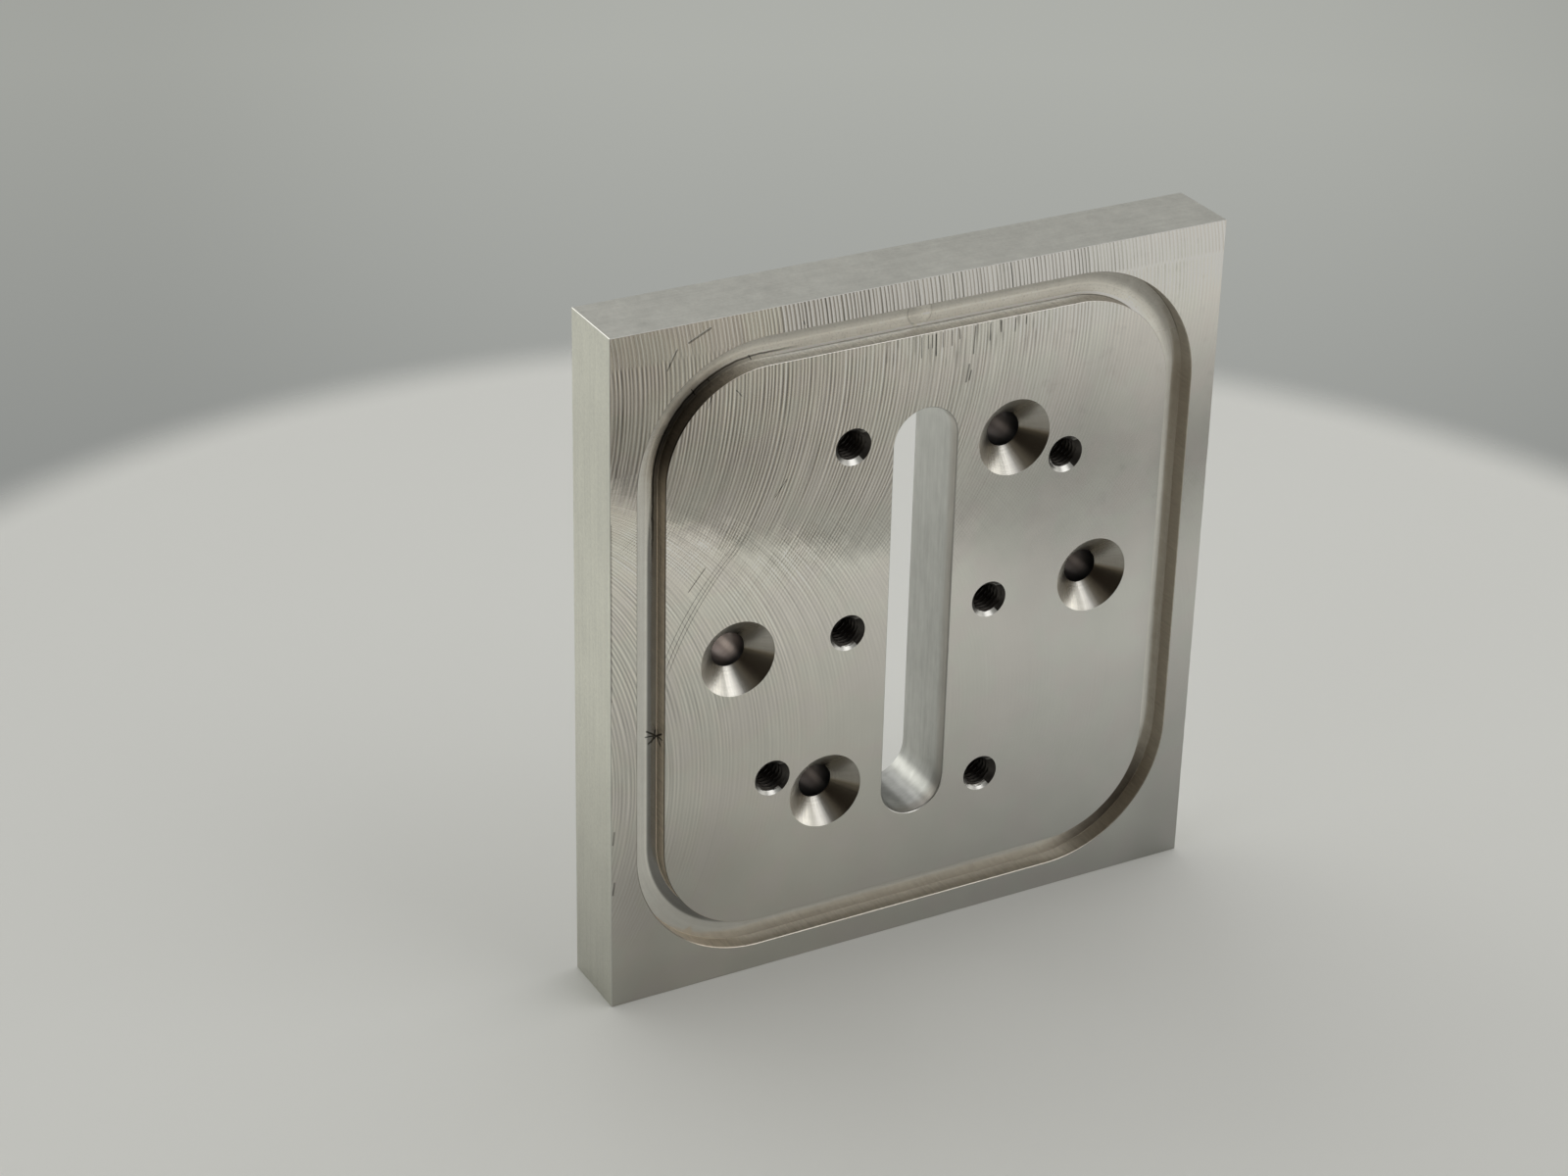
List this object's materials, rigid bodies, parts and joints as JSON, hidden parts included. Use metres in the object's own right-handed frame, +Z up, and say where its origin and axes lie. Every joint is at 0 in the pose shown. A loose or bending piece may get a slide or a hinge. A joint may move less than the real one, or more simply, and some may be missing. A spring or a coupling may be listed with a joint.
{
  "type": "milled aluminium sealing plate",
  "caption": "Flat square-edged milled aluminium plate with a rounded-corner seal groove, a long central slot, countersunk screw holes and small tapped holes.",
  "frame": {"origin": "middle of the lower narrow edge face, where the plate stands", "axes": "+Z up the plate along its height, +X along its width, -Y out of the grooved front face"},
  "size_m": [0.05, 0.006, 0.054],
  "materials": {
    "aluminium": "bare milled aluminium, fine face-milling arcs on the broad faces, bright turned countersinks"
  },
  "bodies": {
    "root": {"plate": "aluminium"}
  },
  "joints": []
}
